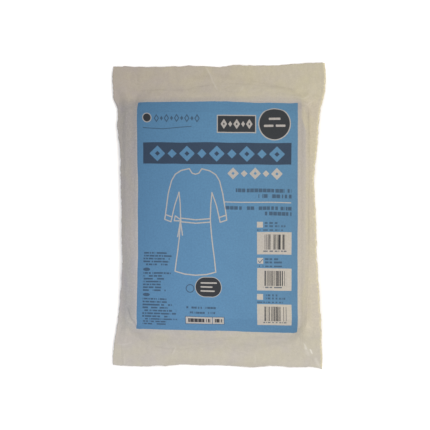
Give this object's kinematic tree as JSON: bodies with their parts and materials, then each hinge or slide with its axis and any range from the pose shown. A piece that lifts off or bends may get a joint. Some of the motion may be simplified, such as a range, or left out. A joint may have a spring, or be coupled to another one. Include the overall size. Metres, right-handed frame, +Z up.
{
  "type": "packaged surgical gown",
  "caption": "Surgical gown folded into a flat block and sealed in a peel pouch, printed paper in front and clear film behind, lying on its back.",
  "frame": {"origin": "on the surface the pack lies on, under the middle of the pack", "axes": "+X to the pack's right as the printed front is read, +Y to the head of the print, +Z up, out of the paper front"},
  "size_m": [0.289, 0.4081, 0.0351],
  "materials": {
    "medical_paper": "matt beige medical paper with a flat light blue, navy and bare-paper print",
    "clear_film": "thin clear glossy film, softly creased",
    "gown_nonwoven": "matt blue point-bonded nonwoven"
  },
  "bodies": {
    "root": {"paper_front": "medical_paper", "film_back": "clear_film", "gown_folded": "gown_nonwoven"}
  },
  "joints": []
}
